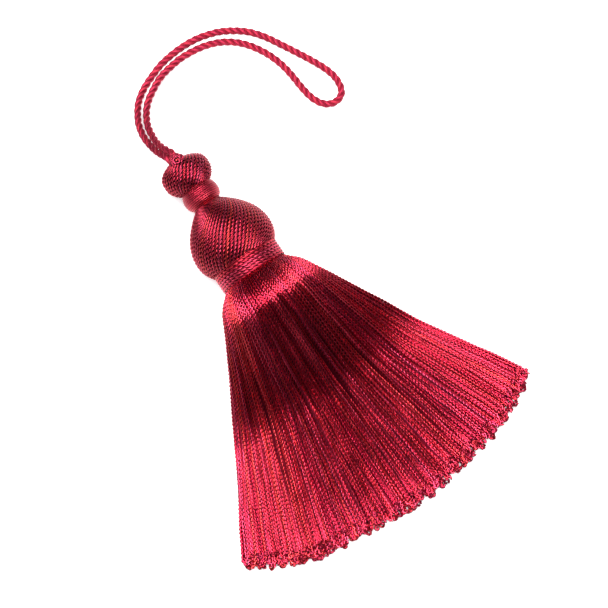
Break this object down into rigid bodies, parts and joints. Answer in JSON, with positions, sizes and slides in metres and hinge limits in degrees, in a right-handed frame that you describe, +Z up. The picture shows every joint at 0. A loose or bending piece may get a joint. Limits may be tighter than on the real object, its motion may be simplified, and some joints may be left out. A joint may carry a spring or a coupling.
{
  "type": "silk tassel",
  "caption": "Silk key tassel lying flat: doubled hanging cord, covered bun and egg-shaped head, satin neck ring, wound collar and a fanned skirt of twisted cords.",
  "frame": {"origin": "centre of the tassel's footprint, without its hanging cord, on the surface it lies on", "axes": "+Y along the tassel from the hem to the head, +Z up from the surface, +X to the right seen from above with the hem nearest"},
  "size_m": [0.1285, 0.187, 0.0309],
  "materials": {
    "loop_cord": "satin",
    "wound_yarn": "satin",
    "covering_yarn": "satin",
    "satin_floss": "gloss",
    "skirt_cord": "satin"
  },
  "bodies": {
    "root": {"hanging_loop": "loop_cord", "loop_knob": "wound_yarn", "top_bun": "covering_yarn", "neck_ring": "satin_floss", "main_head": "covering_yarn", "base_collar": "wound_yarn", "skirt": "skirt_cord"}
  },
  "joints": []
}
